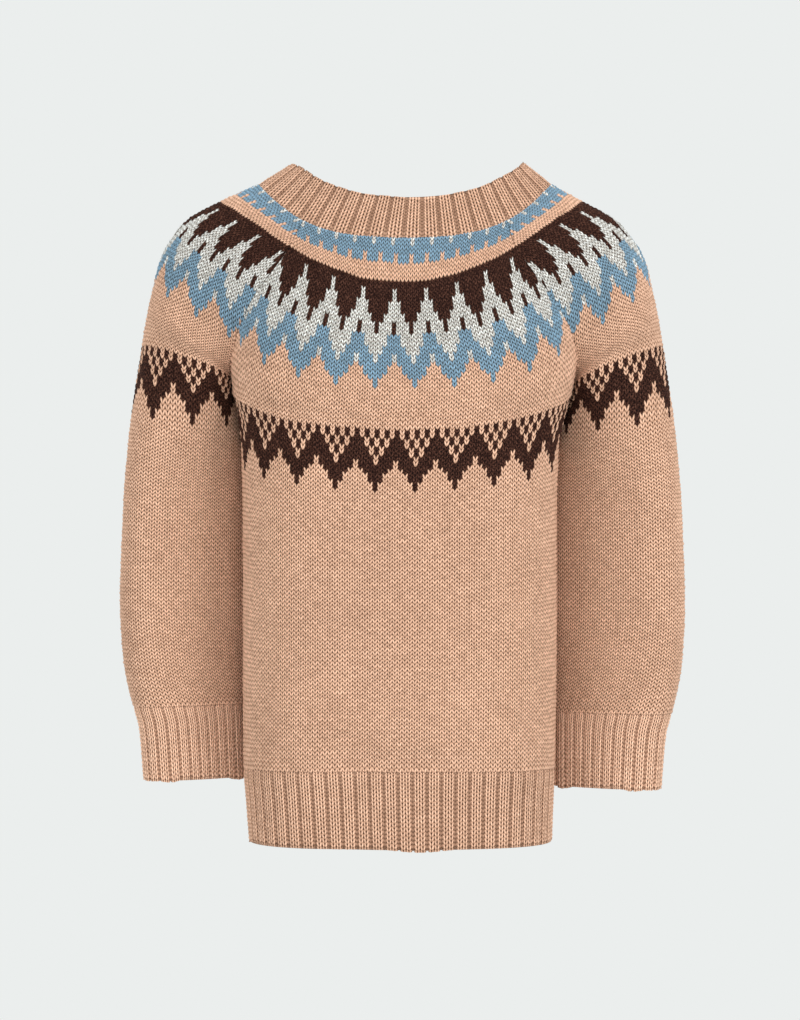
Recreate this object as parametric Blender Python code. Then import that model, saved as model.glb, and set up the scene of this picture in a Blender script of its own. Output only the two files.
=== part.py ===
# Raglan sweater, worn form, hollow. Metres, Z up, the front faces -Y.
import bpy
import bmesh
import numpy as np

for old in list(bpy.data.objects):
    bpy.data.objects.remove(old, do_unlink=True)

# Driving sizes in metres
MM = 0.001
WALL = 0.0020
BAND_WALL = 0.0032
SEAM_GAP = 0.0003
RIB_HEIGHT = 0.0012
HEM_RIBS = 58
CUFF_RIBS = 26
NECK_RIBS = 42
# Points across one rib: share of its width, and height from sunk 0 to raised 1
RIB_POINTS = ((0.08, 1.0), (0.42, 1.0), (0.58, 0.0), (0.92, 0.0))
RIGHT_SLEEVE_DROP = 0.006
SLEEVE_DROP_TOP = -0.060
SLEEVE_DROP_END = -0.390

# Levels along the garment: neck edge, neckband foot, underarm, rib top, rib end
NECK_EDGE = -0.23
NECK_FOOT = 0.0
UNDERARM = 1.0
RIB_TOP = 2.0
RIB_END = 2.2

# Points round half a panel and levels down it
PANEL_STEPS = 14
SLEEVE_STEPS = 13
YOKE_LEVELS = (NECK_FOOT, 0.08, 0.17, 0.27, 0.38, 0.5, 0.62, 0.73, 0.83, 0.9, 0.96, UNDERARM)
BODY_LEVELS = (1.05, 1.12, 1.22, 1.36, 1.52, 1.68, 1.84, RIB_TOP)
NECK_LEVELS = (NECK_EDGE, -0.13, NECK_FOOT)
HEM_LEVELS = (RIB_TOP, 2.08, RIB_END)
RING_SAMPLES = 240
NO_WELD = 1000
SPLIT_START = 0.93
FOLD_DEPTH_SCALE = 58.0
RISE_END = 1.15
RISE_AT_UNDERARM = 0.2

# Body sections, millimetres and degrees. The seam is the raglan above the underarm
# and the side seam below it. Flat and round are how far a section runs straight
# at the middle and at the seam; shift is how far its middle lies to the right.
BODY_COLUMNS = ("level", "front_z", "back_z", "front_y", "back_y", "seam_x", "seam_z",
                "seam_front_y", "seam_back_y", "flat", "round", "turn_front", "turn_back",
                "rise", "shift")
BODY_ROWS = (
    (-0.23, -9.0, -4.0, -46.0, 46.0, 54.0, 2.0, -32.5, 32.5, 20.0, 16.7, 31.0, 31.0, 0.45, 4.0),
    (0.00, -35.3, -30.0, -52.0, 51.0, 66.0, -23.0, -37.4, 37.4, 25.0, 20.2, 27.5, 27.5, 0.50, 1.7),
    (0.17, -63.9, -60.0, -56.0, 55.0, 73.0, -40.3, -44.0, 44.0, 30.0, 24.0, 24.0, 24.0, 0.60, 0.0),
    (0.35, -85.2, -83.0, -58.0, 57.0, 85.9, -58.4, -42.0, 46.0, 40.0, 26.0, 33.0, 30.0, 0.60, 0.0),
    (0.50, -98.1, -97.0, -59.0, 58.0, 94.4, -69.2, -38.0, 46.0, 50.0, 27.0, 43.0, 36.0, 0.60, 0.0),
    (0.70, -116.9, -116.0, -60.0, 59.0, 104.6, -85.5, -30.0, 44.0, 60.0, 28.0, 56.0, 48.0, 0.60, 1.0),
    (0.84, -132.8, -132.0, -60.0, 59.0, 111.0, -100.5, -20.0, 38.0, 68.0, 32.0, 67.0, 60.0, 0.55, 1.5),
    (0.93, -146.2, -146.0, -60.0, 59.0, 114.0, -116.0, -8.0, 26.0, 75.0, 38.0, 79.0, 76.0, 0.40, 0.8),
    (1.00, -156.8, -157.0, -60.0, 59.0, 112.6, -130.0, 8.0, 8.0, 80.0, 46.0, 90.0, 90.0, 0.20, 0.0),
    (1.06, -170.0, -170.0, -60.0, 59.0, 108.5, -146.0, 7.0, 7.0, 79.0, 47.0, 90.0, 90.0, 0.10, -0.5),
    (1.15, -190.0, -190.0, -60.0, 59.0, 104.8, -172.0, 6.0, 6.0, 78.0, 48.0, 90.0, 90.0, 0.05, -1.6),
    (1.30, -225.0, -225.0, -60.0, 59.0, 103.6, -214.0, 5.0, 5.0, 77.0, 48.0, 90.0, 90.0, 0.0, -1.8),
    (1.60, -302.0, -302.0, -60.0, 59.0, 103.4, -296.0, 4.0, 4.0, 77.0, 47.0, 90.0, 90.0, 0.0, -1.8),
    (2.00, -380.0, -380.0, -59.5, 58.5, 102.6, -381.0, 4.0, 4.0, 76.0, 46.0, 90.0, 90.0, 0.0, -2.2),
    (2.06, -394.0, -394.0, -58.5, 57.5, 101.6, -394.0, 4.0, 4.0, 75.0, 45.0, 90.0, 90.0, 0.0, -2.0),
    (2.20, -430.0, -430.0, -56.5, 55.5, 99.6, -429.0, 4.0, 4.0, 74.0, 44.0, 90.0, 90.0, 0.0, -1.3),
)

# Outer line of the sleeve and the way its sections leave the seam
SLEEVE_COLUMNS = ("level", "out_x", "out_y", "out_z", "lead", "round", "turn_front",
                  "turn_back", "out_shift", "clear", "in_y", "in_z")
SLEEVE_ROWS = (
    (-0.23, 76.3, 0.0, 17.2, 16.7, 12.2, 31.0, 31.0, 4.0, 0.0, 0.0, 0.0),
    (0.00, 96.4, 0.0, 4.0, 21.2, 14.1, 27.5, 27.5, 1.7, 0.0, 0.0, 0.0),
    (0.17, 119.5, 2.0, -7.6, 31.0, 19.0, 24.0, 24.0, -0.8, 0.0, 0.0, 0.0),
    (0.35, 140.5, 5.0, -18.8, 31.0, 25.0, 17.0, 20.0, -0.8, 0.0, 0.0, 0.0),
    (0.50, 150.5, 8.0, -29.0, 30.0, 29.0, 9.0, 14.0, -0.5, 0.0, 0.0, 0.0),
    (0.70, 160.7, 13.0, -46.0, 29.0, 34.0, -2.0, 4.0, 0.0, 0.0, 0.0, 0.0),
    (0.84, 165.3, 16.0, -63.0, 30.0, 38.0, -18.0, -10.0, 0.0, 0.0, 0.0, 0.0),
    (0.93, 169.3, 18.0, -80.5, 37.0, 42.0, -50.0, -44.0, 0.0, 0.0, 0.0, 0.0),
    (1.00, 172.7, 20.0, -98.6, 45.0, 45.0, -90.0, -90.0, 0.0, 0.0, 8.0, -130.0),
    (1.06, 175.7, 20.5, -118.0, 44.0, 45.5, -76.0, -102.0, 0.0, 1.4, 14.0, -142.0),
    (1.15, 179.7, 17.0, -146.0, 43.0, 47.0, -58.0, -114.0, 0.0, 0.4, 22.0, -164.0),
    (1.30, 184.6, 14.0, -200.0, 42.0, 50.0, -46.0, -120.0, 0.0, -0.6, 27.0, -208.0),
    (1.60, 187.1, 13.0, -272.0, 41.0, 49.0, -43.0, -120.0, 0.0, -0.8, 28.0, -275.0),
    (1.80, 185.2, 13.0, -307.0, 40.0, 47.0, -43.0, -120.0, 0.0, -0.4, 28.0, -309.0),
    (2.00, 178.6, 13.0, -341.0, 37.0, 43.0, -45.0, -118.0, 0.0, 2.4, 27.0, -341.0),
    (2.06, 174.8, 13.0, -353.0, 36.0, 41.0, -46.0, -118.0, 0.0, 3.6, 27.0, -353.0),
    (2.20, 171.4, 13.0, -389.4, 35.0, 40.0, -46.0, -118.0, 0.0, 5.0, 27.0, -389.4),
)

# Soft troughs in the panels, millimetres; depth is how far they sink
FOLD_COLUMNS = ("x", "z", "half_width", "half_length", "slant", "depth")
FRONT_FOLDS = (
    (-34.0, -395.0, 17.0, 120.0, 0.10, 4.0),
    (48.0, -330.0, 15.0, 110.0, -0.06, 2.2),
    (-78.0, -150.0, 12.0, 45.0, 0.35, 2.4),
    (80.0, -160.0, 12.0, 48.0, -0.32, 2.2),
)
BACK_FOLDS = (
    (26.0, -380.0, 18.0, 125.0, -0.08, 3.6),
    (-52.0, -320.0, 15.0, 105.0, 0.05, 2.4),
    (74.0, -150.0, 12.0, 46.0, -0.34, 2.2),
    (-76.0, -165.0, 12.0, 44.0, 0.30, 2.2),
)

# Colours, linear
YARN_BEIGE = (0.60, 0.36, 0.24, 1.0)
YARN_ROUGHNESS = 0.85


def tracks(columns, rows):
    # smooth curve through each column that never overshoots its rows
    data = np.array(rows, dtype=float)
    place = data[:, 0]
    curves = {}
    for index, name in enumerate(columns):
        value = data[:, index]
        step = np.diff(place)
        slope = np.diff(value) / step
        tangent = np.zeros(len(place))
        tangent[0] = slope[0]
        tangent[-1] = slope[-1]
        for k in range(1, len(place) - 1):
            if slope[k - 1] * slope[k] > 0.0:
                w_a = 2.0 * step[k] + step[k - 1]
                w_b = step[k] + 2.0 * step[k - 1]
                tangent[k] = (w_a + w_b) / (w_a / slope[k - 1] + w_b / slope[k])
        curves[name] = (place, value, tangent)
    return curves


def at(curves, name, level):
    place, value, tangent = curves[name]
    level = np.clip(level, place[0], place[-1])
    k = np.clip(np.searchsorted(place, level, side="right") - 1, 0, len(place) - 2)
    step = place[k + 1] - place[k]
    t = (level - place[k]) / step
    t2 = t * t
    t3 = t2 * t
    return ((2 * t3 - 3 * t2 + 1) * value[k] + (t3 - 2 * t2 + t) * step * tangent[k]
            + (3 * t2 - 2 * t3) * value[k + 1] + (t3 - t2) * step * tangent[k + 1])


BODY = tracks(BODY_COLUMNS, BODY_ROWS)
SLEEVE = tracks(SLEEVE_COLUMNS, SLEEVE_ROWS)


def bezier(p0, p1, p2, p3, t):
    t = t[..., None]
    s = 1.0 - t
    return s ** 3 * p0 + 3 * s * s * t * p1 + 3 * s * t * t * p2 + t ** 3 * p3


def point(x, y, z):
    return np.stack(np.broadcast_arrays(x, y, z), axis=-1).astype(float)


def seam_line(level, side, face):
    # millimetre point where a body panel meets the sleeve or the other panel
    suffix = "front" if face < 0 else "back"
    x = side * at(BODY, "seam_x", level) + at(BODY, "shift", level)
    return point(x, at(BODY, "seam_" + suffix + "_y", level), at(BODY, "seam_z", level))


def seam_way(turn, side, face):
    # outward direction of a section where it crosses the seam, in plan
    angle = np.radians(turn)
    return point(side * np.cos(angle), -face * np.sin(angle), 0.0 * angle)


def seam_step(level, side, face):
    # half the seam gap, outward, halfway between the two panels' directions
    suffix = "front" if face < 0 else "back"
    body_turn = at(BODY, "turn_" + suffix, level)
    sleeve_turn = at(SLEEVE, "turn_" + suffix, level)
    return 0.5 * SEAM_GAP / MM * seam_way(0.5 * (body_turn + sleeve_turn), side, face)


def folds(points, face):
    # sinks the soft troughs into a panel
    rows = FRONT_FOLDS if face < 0 else BACK_FOLDS
    x = points[..., 0]
    z = points[..., 2]
    drop = 0.0 * x
    for cx, cz, half_width, half_length, slant, depth in rows:
        along = (z - cz) / half_length
        across = (x - cx - slant * (z - cz)) / half_width
        drop = drop + depth * np.exp(-across ** 2 - along ** 2)
    reach = np.clip(np.abs(points[..., 1]) / FOLD_DEPTH_SCALE, 0.0, 1.0) ** 2
    moved = points.copy()
    moved[..., 1] = points[..., 1] - face * drop * reach
    return moved


def body_half(level, t, side, face, gapped=True):
    # from the panel's middle (t 0) to its seam (t 1), millimetres
    suffix = "front" if face < 0 else "back"
    shift = at(BODY, "shift", level)
    middle = point(shift, at(BODY, suffix + "_y", level), at(BODY, suffix + "_z", level))
    seam = seam_line(level, side, face)
    way = seam_way(at(BODY, "turn_" + suffix, level), side, face)
    if gapped:
        seam = seam - seam_step(level, side, face)
        below = np.clip((level - SPLIT_START) / (UNDERARM - SPLIT_START), 0.0, 1.0)
        seam[..., 1] += face * 0.5 * SEAM_GAP / MM * below
    reach = at(BODY, "round", level)[..., None]
    lead = middle + point(side * at(BODY, "flat", level), 0.0, 0.0)
    tail = seam - reach * way
    tail[..., 2] -= reach[..., 0] * at(BODY, "rise", level)
    return folds(bezier(middle, lead, tail, seam, t), face)


def sleeve_drop(points, side):
    # the right sleeve hangs a little lower
    if side < 0:
        return points
    share = np.clip((points[..., 2] * MM - SLEEVE_DROP_TOP) / (SLEEVE_DROP_END - SLEEVE_DROP_TOP),
                    0.0, 1.1)
    moved = points.copy()
    moved[..., 2] = points[..., 2] - share * RIGHT_SLEEVE_DROP / MM
    return moved


def sleeve_half(level, t, side, face):
    # from the seam or inner line (t 0) to the outer line (t 1), millimetres
    suffix = "front" if face < 0 else "back"
    seam = seam_line(level, side, face) + seam_step(level, side, face)
    inner_x = side * (at(BODY, "seam_x", level) + at(SLEEVE, "clear", level))
    inner_x = inner_x + at(BODY, "shift", level) + side * 0.5 * SEAM_GAP / MM
    inner = point(inner_x, at(SLEEVE, "in_y", level), at(SLEEVE, "in_z", level))
    start = np.where((level > UNDERARM)[..., None], inner, seam)
    outer_x = side * at(SLEEVE, "out_x", level) + at(SLEEVE, "out_shift", level)
    outer = point(outer_x, at(SLEEVE, "out_y", level), at(SLEEVE, "out_z", level))
    way = seam_way(at(SLEEVE, "turn_" + suffix, level), side, face)
    lead_length = at(SLEEVE, "lead", level)
    fade = np.clip((RISE_END - level) / (RISE_END - UNDERARM), 0.0, 1.0)
    rise = np.where(level > UNDERARM, RISE_AT_UNDERARM * fade, at(BODY, "rise", level))
    lead = start + lead_length[..., None] * way
    lead[..., 2] += lead_length * rise
    tail = outer + point(0.0 * level, face * at(SLEEVE, "round", level), 0.0 * level)
    return sleeve_drop(bezier(start, lead, tail, outer, t), side)


def panel_points(levels, face):
    # rows of a front or back panel from its left seam to its right seam
    t = np.linspace(0.0, 1.0, PANEL_STEPS + 1)
    level, share = np.meshgrid(np.array(levels), t, indexing="ij")
    left = body_half(level, share, -1, face)[:, ::-1]
    right = body_half(level, share, 1, face)
    return np.concatenate([left, right[:, 1:]], axis=1)


def sleeve_points(levels, side):
    # rows of a sleeve from its front seam over the outer line to its back seam
    t = np.linspace(0.0, 1.0, SLEEVE_STEPS + 1)
    level, share = np.meshgrid(np.array(levels), t, indexing="ij")
    front = sleeve_half(level, share, side, -1)
    back = sleeve_half(level, share, side, 1)[:, ::-1]
    return np.concatenate([front, back[:, 1:]], axis=1)


def ring(level, kind, side):
    # closed section at one level, dense, from the middle front or the inner line
    t = np.linspace(0.0, 1.0, RING_SAMPLES)
    level = np.full(RING_SAMPLES, float(level))
    if kind == "sleeve":
        parts = [sleeve_half(level, t, side, -1), sleeve_half(level, t, side, 1)[::-1]]
    elif kind == "body":
        parts = [body_half(level, t, 1, -1, False), body_half(level, t, 1, 1, False)[::-1],
                 body_half(level, t, -1, 1, False), body_half(level, t, -1, -1, False)[::-1]]
    else:
        parts = [body_half(level, t, 1, -1, False), sleeve_half(level, t, 1, -1),
                 sleeve_half(level, t, 1, 1)[::-1], body_half(level, t, 1, 1, False)[::-1],
                 body_half(level, t, -1, 1, False), sleeve_half(level, t, -1, 1),
                 sleeve_half(level, t, -1, -1)[::-1], body_half(level, t, -1, -1, False)[::-1]]
    return np.concatenate(parts)


def evenly(loop, shares):
    # points of a closed loop at shares of its length
    closed = np.vstack([loop, loop[:1]])
    gaps = np.linalg.norm(np.diff(closed, axis=0), axis=1)
    run = np.concatenate([[0.0], np.cumsum(gaps)])
    return np.stack([np.interp(np.asarray(shares) * run[-1], run, closed[:, k])
                     for k in range(3)], axis=-1)


def rib_shares(count):
    # two raised and two sunk points to each rib, with their height
    shares = []
    heights = []
    for rib in range(count):
        for phase, height in RIB_POINTS:
            shares.append((rib + phase) / count)
            heights.append(height)
    return np.array(shares), np.array(heights)


def smooth_normals(points, faces):
    # outward directions at the points of a surface
    total = np.zeros(points.shape)
    for face in faces:
        corner = points[list(face)]
        normal = np.cross(corner[2] - corner[0], corner[3] - corner[1])
        for index in face:
            total[index] += normal
    return total / np.linalg.norm(total, axis=1)[:, None]


def grid_faces(rows, columns, index):
    faces = []
    for i in range(rows - 1):
        for j in range(columns - 1):
            faces.append((index[i][j], index[i][j + 1], index[i + 1][j + 1], index[i + 1][j]))
    return faces


def welded_index(rows, columns, welded_from):
    # the first and last column share points from one row on down
    index = []
    count = 0
    for i in range(rows):
        line = []
        for j in range(columns):
            if j == columns - 1 and i >= welded_from:
                line.append(line[0])
            else:
                line.append(count)
                count += 1
        index.append(line)
    return index, count


def wall(name, grid, heights, thickness, welded_from, outward, material):
    # closed wall from a grid of surface points, raised ribs only on the outside
    rows, columns = grid.shape[:2]
    index, count = welded_index(rows, columns, welded_from)
    base = np.zeros((count, 3))
    raised = np.zeros(count)
    for i in range(rows):
        for j in range(columns):
            base[index[i][j]] = grid[i, j] * MM
            raised[index[i][j]] = heights[j]
    faces = grid_faces(rows, columns, index)
    if not outward:
        faces = [tuple(reversed(face)) for face in faces]
    normal = smooth_normals(base, faces)
    outer = base + normal * (raised * RIB_HEIGHT)[:, None]
    inner = base - normal * thickness
    mesh = bpy.data.meshes.new(name)
    body = bmesh.new()
    outer_verts = [body.verts.new(p) for p in outer]
    inner_verts = [body.verts.new(p) for p in inner]
    directed = {}
    for face in faces:
        body.faces.new([outer_verts[k] for k in face]).smooth = True
        body.faces.new([inner_verts[k] for k in reversed(face)]).smooth = True
        for a, b in zip(face, face[1:] + face[:1]):
            directed[(a, b)] = True
    for a, b in directed:
        if (b, a) not in directed:
            body.faces.new((outer_verts[b], outer_verts[a], inner_verts[a], inner_verts[b]))
    bmesh.ops.recalc_face_normals(body, faces=body.faces[:])
    body.to_mesh(mesh)
    body.free()
    piece = bpy.data.objects.new(name, mesh)
    bpy.context.scene.collection.objects.link(piece)
    mesh.materials.append(material)
    return piece


def yarn(name, colour):
    material = bpy.data.materials.new(name)
    material.use_nodes = True
    shader = material.node_tree.nodes["Principled BSDF"]
    shader.inputs["Base Color"].default_value = colour
    shader.inputs["Roughness"].default_value = YARN_ROUGHNESS
    shader.inputs["Metallic"].default_value = 0.0
    return material


def ribbed_grid(levels, kind, side, ribs, ends):
    # closed rings with rib points; the end rings step back by half the seam gap
    shares, heights = rib_shares(ribs)
    rings = []
    for level in levels:
        rings.append(evenly(ring(level, kind, side), shares))
    grid = np.array(rings)
    for row, toward in ends:
        step = grid[toward] - grid[row]
        length = np.linalg.norm(step, axis=1)[:, None]
        grid[row] = grid[row] + step / length * 0.5 * SEAM_GAP / MM
    grid = np.concatenate([grid, grid[:, :1]], axis=1)
    return grid, np.concatenate([heights, heights[:1]])


def trimmed(grid, ends):
    # moves the edge rows of a panel back from the seam line
    grid = grid.copy()
    for row, toward in ends:
        step = grid[toward] - grid[row]
        length = np.linalg.norm(step, axis=1)[:, None]
        grid[row] = grid[row] + step / length * 0.5 * SEAM_GAP / MM
    return grid


levels = YOKE_LEVELS + BODY_LEVELS
edge_rows = ((0, 1), (-1, -2))
plain = np.zeros(2 * PANEL_STEPS + 1)
front_grid = trimmed(panel_points(levels, -1), edge_rows)
wall("front", front_grid, plain, WALL, NO_WELD, False, yarn("front_yarn", YARN_BEIGE))
back_grid = trimmed(panel_points(levels, 1), edge_rows)
wall("back", back_grid, plain, WALL, NO_WELD, True, yarn("back_yarn", YARN_BEIGE))

plain = np.zeros(2 * SLEEVE_STEPS + 1)
weld_row = YOKE_LEVELS.index(UNDERARM)
for side, name in ((-1, "left"), (1, "right")):
    sleeve_grid = trimmed(sleeve_points(levels, side), edge_rows)
    wall("sleeve_" + name, sleeve_grid, plain, WALL, weld_row, side < 0,
         yarn("sleeve_" + name + "_yarn", YARN_BEIGE))
    cuff_grid, cuff_heights = ribbed_grid(HEM_LEVELS, "sleeve", side, CUFF_RIBS, ((0, 1),))
    wall("cuff_" + name, cuff_grid, cuff_heights, WALL, 0, side < 0,
         yarn("cuff_" + name + "_yarn", YARN_BEIGE))

hem_grid, hem_heights = ribbed_grid(HEM_LEVELS, "body", 1, HEM_RIBS, ((0, 1),))
wall("hem", hem_grid, hem_heights, WALL, 0, False, yarn("hem_yarn", YARN_BEIGE))
neck_grid, neck_heights = ribbed_grid(NECK_LEVELS, "neck", 1, NECK_RIBS, ((2, 1),))
wall("neckband", neck_grid, neck_heights, BAND_WALL, 0, False,
     yarn("neckband_yarn", YARN_BEIGE))
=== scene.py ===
import math

import bmesh
import bpy
import numpy as np
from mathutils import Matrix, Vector


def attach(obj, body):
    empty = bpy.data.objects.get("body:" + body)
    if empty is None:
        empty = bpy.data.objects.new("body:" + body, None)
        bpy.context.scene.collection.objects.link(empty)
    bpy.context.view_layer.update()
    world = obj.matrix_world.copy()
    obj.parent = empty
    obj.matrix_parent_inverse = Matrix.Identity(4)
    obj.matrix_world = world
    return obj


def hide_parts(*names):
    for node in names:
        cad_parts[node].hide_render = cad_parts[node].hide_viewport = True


bl_info = {
    "name": "Raglan Sweater",
    "version": (1, 0, 0),
    "blender": (4, 5, 0),
    "location": "View3D > Sidebar > Sweater",
    "description": "Knitted panels, ribbed bands and plain stage for the raglan sweater",
    "category": "Object",
}

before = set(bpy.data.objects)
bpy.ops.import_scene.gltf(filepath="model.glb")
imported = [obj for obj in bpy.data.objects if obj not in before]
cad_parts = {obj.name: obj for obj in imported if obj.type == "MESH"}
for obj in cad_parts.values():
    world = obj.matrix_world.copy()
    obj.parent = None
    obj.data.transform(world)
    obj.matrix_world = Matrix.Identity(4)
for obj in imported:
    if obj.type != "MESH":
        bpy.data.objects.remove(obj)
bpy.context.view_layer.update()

MM = 0.001
# Levels along the garment: the neckband's edge and foot, the underarm, the rib's top and end
NECK_EDGE = -0.23
NECK_FOOT = 0.0
UNDERARM = 1.0
RIB_TOP = 2.0
RIB_END = 2.2
SEAM_GAP = 0.0003
# The right sleeve hangs lower by this much, growing between two heights, metres
RIGHT_SLEEVE_DROP = 0.006
SLEEVE_DROP_TOP = -0.060
SLEEVE_DROP_END = -0.390
SLEEVE_DROP_MOST = 1.1
# Level where the two panels start to part, and how a sleeve's rise fades under the arm
SPLIT_START = 0.93
RISE_END = 1.15
RISE_AT_UNDERARM = 0.2
# A trough is at its full depth this far from the middle plane, millimetres
FOLD_DEPTH_SCALE = 58.0
# Points worked out along a half section: for a ring, and for measuring lengths
RING_SAMPLES = 240
SECTION_SAMPLES = 121

# Body sections, millimetres and degrees. The seam is the raglan above the underarm
# and the side seam below it. Flat and round are how far a section runs straight
# at the middle and at the seam; shift is how far its middle lies to the right.
BODY_COLUMNS = ("level", "front_z", "back_z", "front_y", "back_y", "seam_x", "seam_z",
                "seam_front_y", "seam_back_y", "flat", "round", "turn_front", "turn_back",
                "rise", "shift")
BODY_ROWS = (
    (-0.23, -9.0, -4.0, -46.0, 46.0, 54.0, 2.0, -32.5, 32.5, 20.0, 16.7, 31.0, 31.0, 0.45, 4.0),
    (0.00, -35.3, -30.0, -52.0, 51.0, 66.0, -23.0, -37.4, 37.4, 25.0, 20.2, 27.5, 27.5, 0.50, 1.7),
    (0.17, -63.9, -60.0, -56.0, 55.0, 73.0, -40.3, -44.0, 44.0, 30.0, 24.0, 24.0, 24.0, 0.60, 0.0),
    (0.35, -85.2, -83.0, -58.0, 57.0, 85.9, -58.4, -42.0, 46.0, 40.0, 26.0, 33.0, 30.0, 0.60, 0.0),
    (0.50, -98.1, -97.0, -59.0, 58.0, 94.4, -69.2, -38.0, 46.0, 50.0, 27.0, 43.0, 36.0, 0.60, 0.0),
    (0.70, -116.9, -116.0, -60.0, 59.0, 104.6, -85.5, -30.0, 44.0, 60.0, 28.0, 56.0, 48.0, 0.60, 1.0),
    (0.84, -132.8, -132.0, -60.0, 59.0, 111.0, -100.5, -20.0, 38.0, 68.0, 32.0, 67.0, 60.0, 0.55, 1.5),
    (0.93, -146.2, -146.0, -60.0, 59.0, 114.0, -116.0, -8.0, 26.0, 75.0, 38.0, 79.0, 76.0, 0.40, 0.8),
    (1.00, -156.8, -157.0, -60.0, 59.0, 112.6, -130.0, 8.0, 8.0, 80.0, 46.0, 90.0, 90.0, 0.20, 0.0),
    (1.06, -170.0, -170.0, -60.0, 59.0, 108.5, -146.0, 7.0, 7.0, 79.0, 47.0, 90.0, 90.0, 0.10, -0.5),
    (1.15, -190.0, -190.0, -60.0, 59.0, 104.8, -172.0, 6.0, 6.0, 78.0, 48.0, 90.0, 90.0, 0.05, -1.6),
    (1.30, -225.0, -225.0, -60.0, 59.0, 103.6, -214.0, 5.0, 5.0, 77.0, 48.0, 90.0, 90.0, 0.0, -1.8),
    (1.60, -302.0, -302.0, -60.0, 59.0, 103.4, -296.0, 4.0, 4.0, 77.0, 47.0, 90.0, 90.0, 0.0, -1.8),
    (2.00, -380.0, -380.0, -59.5, 58.5, 102.6, -381.0, 4.0, 4.0, 76.0, 46.0, 90.0, 90.0, 0.0, -2.2),
    (2.06, -394.0, -394.0, -58.5, 57.5, 101.6, -394.0, 4.0, 4.0, 75.0, 45.0, 90.0, 90.0, 0.0, -2.0),
    (2.20, -430.0, -430.0, -56.5, 55.5, 99.6, -429.0, 4.0, 4.0, 74.0, 44.0, 90.0, 90.0, 0.0, -1.3),
)

# Outer line of the sleeve, the way its sections leave the seam, and the inner line below
# the underarm; clear is how far that stands off the body
SLEEVE_COLUMNS = ("level", "out_x", "out_y", "out_z", "lead", "round", "turn_front",
                  "turn_back", "out_shift", "clear", "in_y", "in_z")
SLEEVE_ROWS = (
    (-0.23, 76.3, 0.0, 17.2, 16.7, 12.2, 31.0, 31.0, 4.0, 0.0, 0.0, 0.0),
    (0.00, 96.4, 0.0, 4.0, 21.2, 14.1, 27.5, 27.5, 1.7, 0.0, 0.0, 0.0),
    (0.17, 119.5, 2.0, -7.6, 31.0, 19.0, 24.0, 24.0, -0.8, 0.0, 0.0, 0.0),
    (0.35, 140.5, 5.0, -18.8, 31.0, 25.0, 17.0, 20.0, -0.8, 0.0, 0.0, 0.0),
    (0.50, 150.5, 8.0, -29.0, 30.0, 29.0, 9.0, 14.0, -0.5, 0.0, 0.0, 0.0),
    (0.70, 160.7, 13.0, -46.0, 29.0, 34.0, -2.0, 4.0, 0.0, 0.0, 0.0, 0.0),
    (0.84, 165.3, 16.0, -63.0, 30.0, 38.0, -18.0, -10.0, 0.0, 0.0, 0.0, 0.0),
    (0.93, 169.3, 18.0, -80.5, 37.0, 42.0, -50.0, -44.0, 0.0, 0.0, 0.0, 0.0),
    (1.00, 172.7, 20.0, -98.6, 45.0, 45.0, -90.0, -90.0, 0.0, 0.0, 8.0, -130.0),
    (1.06, 175.7, 20.5, -118.0, 44.0, 45.5, -76.0, -102.0, 0.0, 1.4, 14.0, -142.0),
    (1.15, 179.7, 17.0, -146.0, 43.0, 47.0, -58.0, -114.0, 0.0, 0.4, 22.0, -164.0),
    (1.30, 184.6, 14.0, -200.0, 42.0, 50.0, -46.0, -120.0, 0.0, -0.6, 27.0, -208.0),
    (1.60, 187.1, 13.0, -272.0, 41.0, 49.0, -43.0, -120.0, 0.0, -0.8, 28.0, -275.0),
    (1.80, 185.2, 13.0, -307.0, 40.0, 47.0, -43.0, -120.0, 0.0, -0.4, 28.0, -309.0),
    (2.00, 178.6, 13.0, -341.0, 37.0, 43.0, -45.0, -118.0, 0.0, 2.4, 27.0, -341.0),
    (2.06, 174.8, 13.0, -353.0, 36.0, 41.0, -46.0, -118.0, 0.0, 3.6, 27.0, -353.0),
    (2.20, 171.4, 13.0, -389.4, 35.0, 40.0, -46.0, -118.0, 0.0, 5.0, 27.0, -389.4),
)

# Soft troughs in the panels, millimetres: x, z, half width, half length, slant, depth
FRONT_FOLDS = (
    (-34.0, -395.0, 17.0, 120.0, 0.10, 4.0),
    (48.0, -330.0, 15.0, 110.0, -0.06, 2.2),
    (-78.0, -150.0, 12.0, 45.0, 0.35, 2.4),
    (80.0, -160.0, 12.0, 48.0, -0.32, 2.2),
)
BACK_FOLDS = (
    (26.0, -380.0, 18.0, 125.0, -0.08, 3.6),
    (-52.0, -320.0, 15.0, 105.0, 0.05, 2.4),
    (74.0, -150.0, 12.0, 46.0, -0.34, 2.2),
    (-76.0, -165.0, 12.0, 44.0, 0.30, 2.2),
)

# Knitted rows counted down from the neckband, against the garment's levels
ROW_COLUMNS = ("row", "level")
BODY_ROW_LEVELS = (
    (0.0, 0.0), (10.0, 0.17), (18.0, 0.35), (22.9, 0.5), (30.0, 0.7), (36.0, 0.84),
    (41.0, 0.93), (45.0, 1.0), (49.7, 1.06), (56.7, 1.15), (70.0, 1.3), (100.0, 1.6),
    (130.0, 2.0),
)
SLEEVE_ROW_LEVELS = (
    (0.0, 0.0), (10.0, 0.17), (18.0, 0.35), (22.9, 0.5), (30.0, 0.7), (36.0, 0.84),
    (43.0, 0.93), (50.0, 1.0), (56.5, 1.06), (64.7, 1.15), (85.8, 1.3), (114.0, 1.6),
    (128.5, 1.8), (142.0, 2.0),
)
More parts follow.
